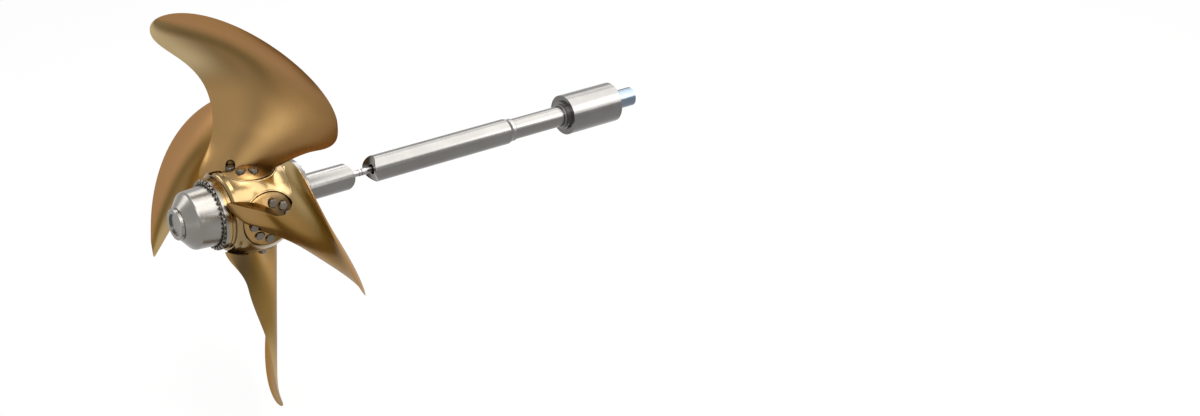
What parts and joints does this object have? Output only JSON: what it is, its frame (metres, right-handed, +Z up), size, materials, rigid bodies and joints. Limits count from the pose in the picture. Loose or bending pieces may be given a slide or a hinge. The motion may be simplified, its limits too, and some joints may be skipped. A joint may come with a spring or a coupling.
{
  "type": "controllable pitch propeller",
  "caption": "Ship's controllable pitch propeller: skewed bronze blades turning in a barrel hub, with hub cap servo, broken-open hollow shaft and muff coupling.",
  "frame": {"origin": "centre of the forward end face of the shaft, where the rest of the shaft line joins", "axes": "+X forward along the shaft axis, +Y to port, +Z up along the spindle of blade 1"},
  "size_m": [5.743, 3.7748, 3.7748],
  "materials": {
    "blade_bronze": "satin cast and polished nickel-aluminium bronze",
    "hub_bronze": "polished turned nickel-aluminium bronze",
    "cover_bronze": "turned bronze",
    "cap_steel": "satin turned stainless steel",
    "shaft_steel": "ground forged steel",
    "forward_shaft_steel": "ground forged steel, slightly blue",
    "coupling_steel": "ground steel",
    "ring_steel": "turned steel",
    "bolt_steel": "dark oiled steel",
    "pipe_steel": "drawn steel",
    "dark_steel": "machined steel",
    "seal_rubber": "moulded rubber"
  },
  "bodies": {
    "hub_and_shaft": {"hub_body": "hub_bronze", "hub_cap": "cap_steel", "cap_cover": "cap_steel", "cap_plug": "dark_steel", "cap_bolts": "bolt_steel", "cylinder_cover": "cover_bronze", "cylinder_seal": "seal_rubber", "rod_bush": "cover_bronze", "shaft_stub": "shaft_steel", "shaft_flange_bolts": "bolt_steel", "tail_shaft": "shaft_steel", "shaft_end_ring": "ring_steel", "forward_shaft": "forward_shaft_steel", "coupling_sleeve": "coupling_steel", "coupling_inner_sleeve": "coupling_steel", "coupling_nut": "ring_steel", "coupling_seal": "ring_steel", "pipe_guides_aft": "dark_steel", "pipe_guides_forward": "dark_steel", "blade_bearing_ring_1": "cover_bronze", "blade_bearing_ring_2": "cover_bronze", "blade_bearing_ring_3": "cover_bronze", "blade_bearing_ring_4": "cover_bronze"},
    "pitch_servo": {"yoke": "dark_steel", "piston_rod": "dark_steel", "piston": "dark_steel", "piston_rings": "dark_steel", "piston_rod_nut": "dark_steel", "oil_pipe_aft": "pipe_steel", "oil_pipe_joint": "pipe_steel", "oil_pipe_forward": "pipe_steel"},
    "turning_blade_1": {"blade_1": "blade_bronze", "blade_bolts_1": "bolt_steel", "crank_disc_1": "dark_steel"},
    "block_1": {"sliding_block_1": "cover_bronze"},
    "turning_blade_2": {"blade_2": "blade_bronze", "blade_bolts_2": "bolt_steel", "crank_disc_2": "dark_steel"},
    "block_2": {"sliding_block_2": "cover_bronze"},
    "turning_blade_3": {"blade_3": "blade_bronze", "blade_bolts_3": "bolt_steel", "crank_disc_3": "dark_steel"},
    "block_3": {"sliding_block_3": "cover_bronze"},
    "turning_blade_4": {"blade_4": "blade_bronze", "blade_bolts_4": "bolt_steel", "crank_disc_4": "dark_steel"},
    "block_4": {"sliding_block_4": "cover_bronze"}
  },
  "joints": [
    {"name": "pitch_slide", "type": "slide", "parent": "hub_and_shaft", "child": "pitch_servo", "axis": [1, 0, 0], "range_m": [-0.0804, 0.0089]},
    {"name": "blade_1_spindle", "type": "hinge", "parent": "hub_and_shaft", "child": "turning_blade_1", "pos_m": [-4.93, 0, 0], "axis": [0, 0, 1], "range_deg": [-45.1, 5.1]},
    {"name": "block_1_pivot", "type": "hinge", "parent": "turning_blade_1", "child": "block_1", "pos_m": [-4.89409, -0.09867, 0.19], "axis": [0, 0, 1], "range_deg": [-5.1, 45.1]},
    {"name": "blade_2_spindle", "type": "hinge", "parent": "hub_and_shaft", "child": "turning_blade_2", "pos_m": [-4.93, 0, 0], "axis": [0, -1, 0], "range_deg": [-45.1, 5.1]},
    {"name": "block_2_pivot", "type": "hinge", "parent": "turning_blade_2", "child": "block_2", "pos_m": [-4.89409, -0.19, -0.09867], "axis": [0, -1, 0], "range_deg": [-5.1, 45.1]},
    {"name": "blade_3_spindle", "type": "hinge", "parent": "hub_and_shaft", "child": "turning_blade_3", "pos_m": [-4.93, 0, 0], "axis": [0, 0, -1], "range_deg": [-45.1, 5.1]},
    {"name": "block_3_pivot", "type": "hinge", "parent": "turning_blade_3", "child": "block_3", "pos_m": [-4.89409, 0.09867, -0.19], "axis": [0, 0, -1], "range_deg": [-5.1, 45.1]},
    {"name": "blade_4_spindle", "type": "hinge", "parent": "hub_and_shaft", "child": "turning_blade_4", "pos_m": [-4.93, 0, 0], "axis": [0, 1, 0], "range_deg": [-45.1, 5.1]},
    {"name": "block_4_pivot", "type": "hinge", "parent": "turning_blade_4", "child": "block_4", "pos_m": [-4.89409, 0.19, 0.09867], "axis": [0, 1, 0], "range_deg": [-5.1, 45.1]}
  ],
  "couplings": [
    {"joint": "blade_1_spindle", "follows": "pitch_slide", "rad_per_m": 9.758},
    {"joint": "block_1_pivot", "follows": "pitch_slide", "rad_per_m": -9.758},
    {"joint": "blade_2_spindle", "follows": "pitch_slide", "rad_per_m": 9.758},
    {"joint": "block_2_pivot", "follows": "pitch_slide", "rad_per_m": -9.758},
    {"joint": "blade_3_spindle", "follows": "pitch_slide", "rad_per_m": 9.758},
    {"joint": "block_3_pivot", "follows": "pitch_slide", "rad_per_m": -9.758},
    {"joint": "blade_4_spindle", "follows": "pitch_slide", "rad_per_m": 9.758},
    {"joint": "block_4_pivot", "follows": "pitch_slide", "rad_per_m": -9.758}
  ]
}
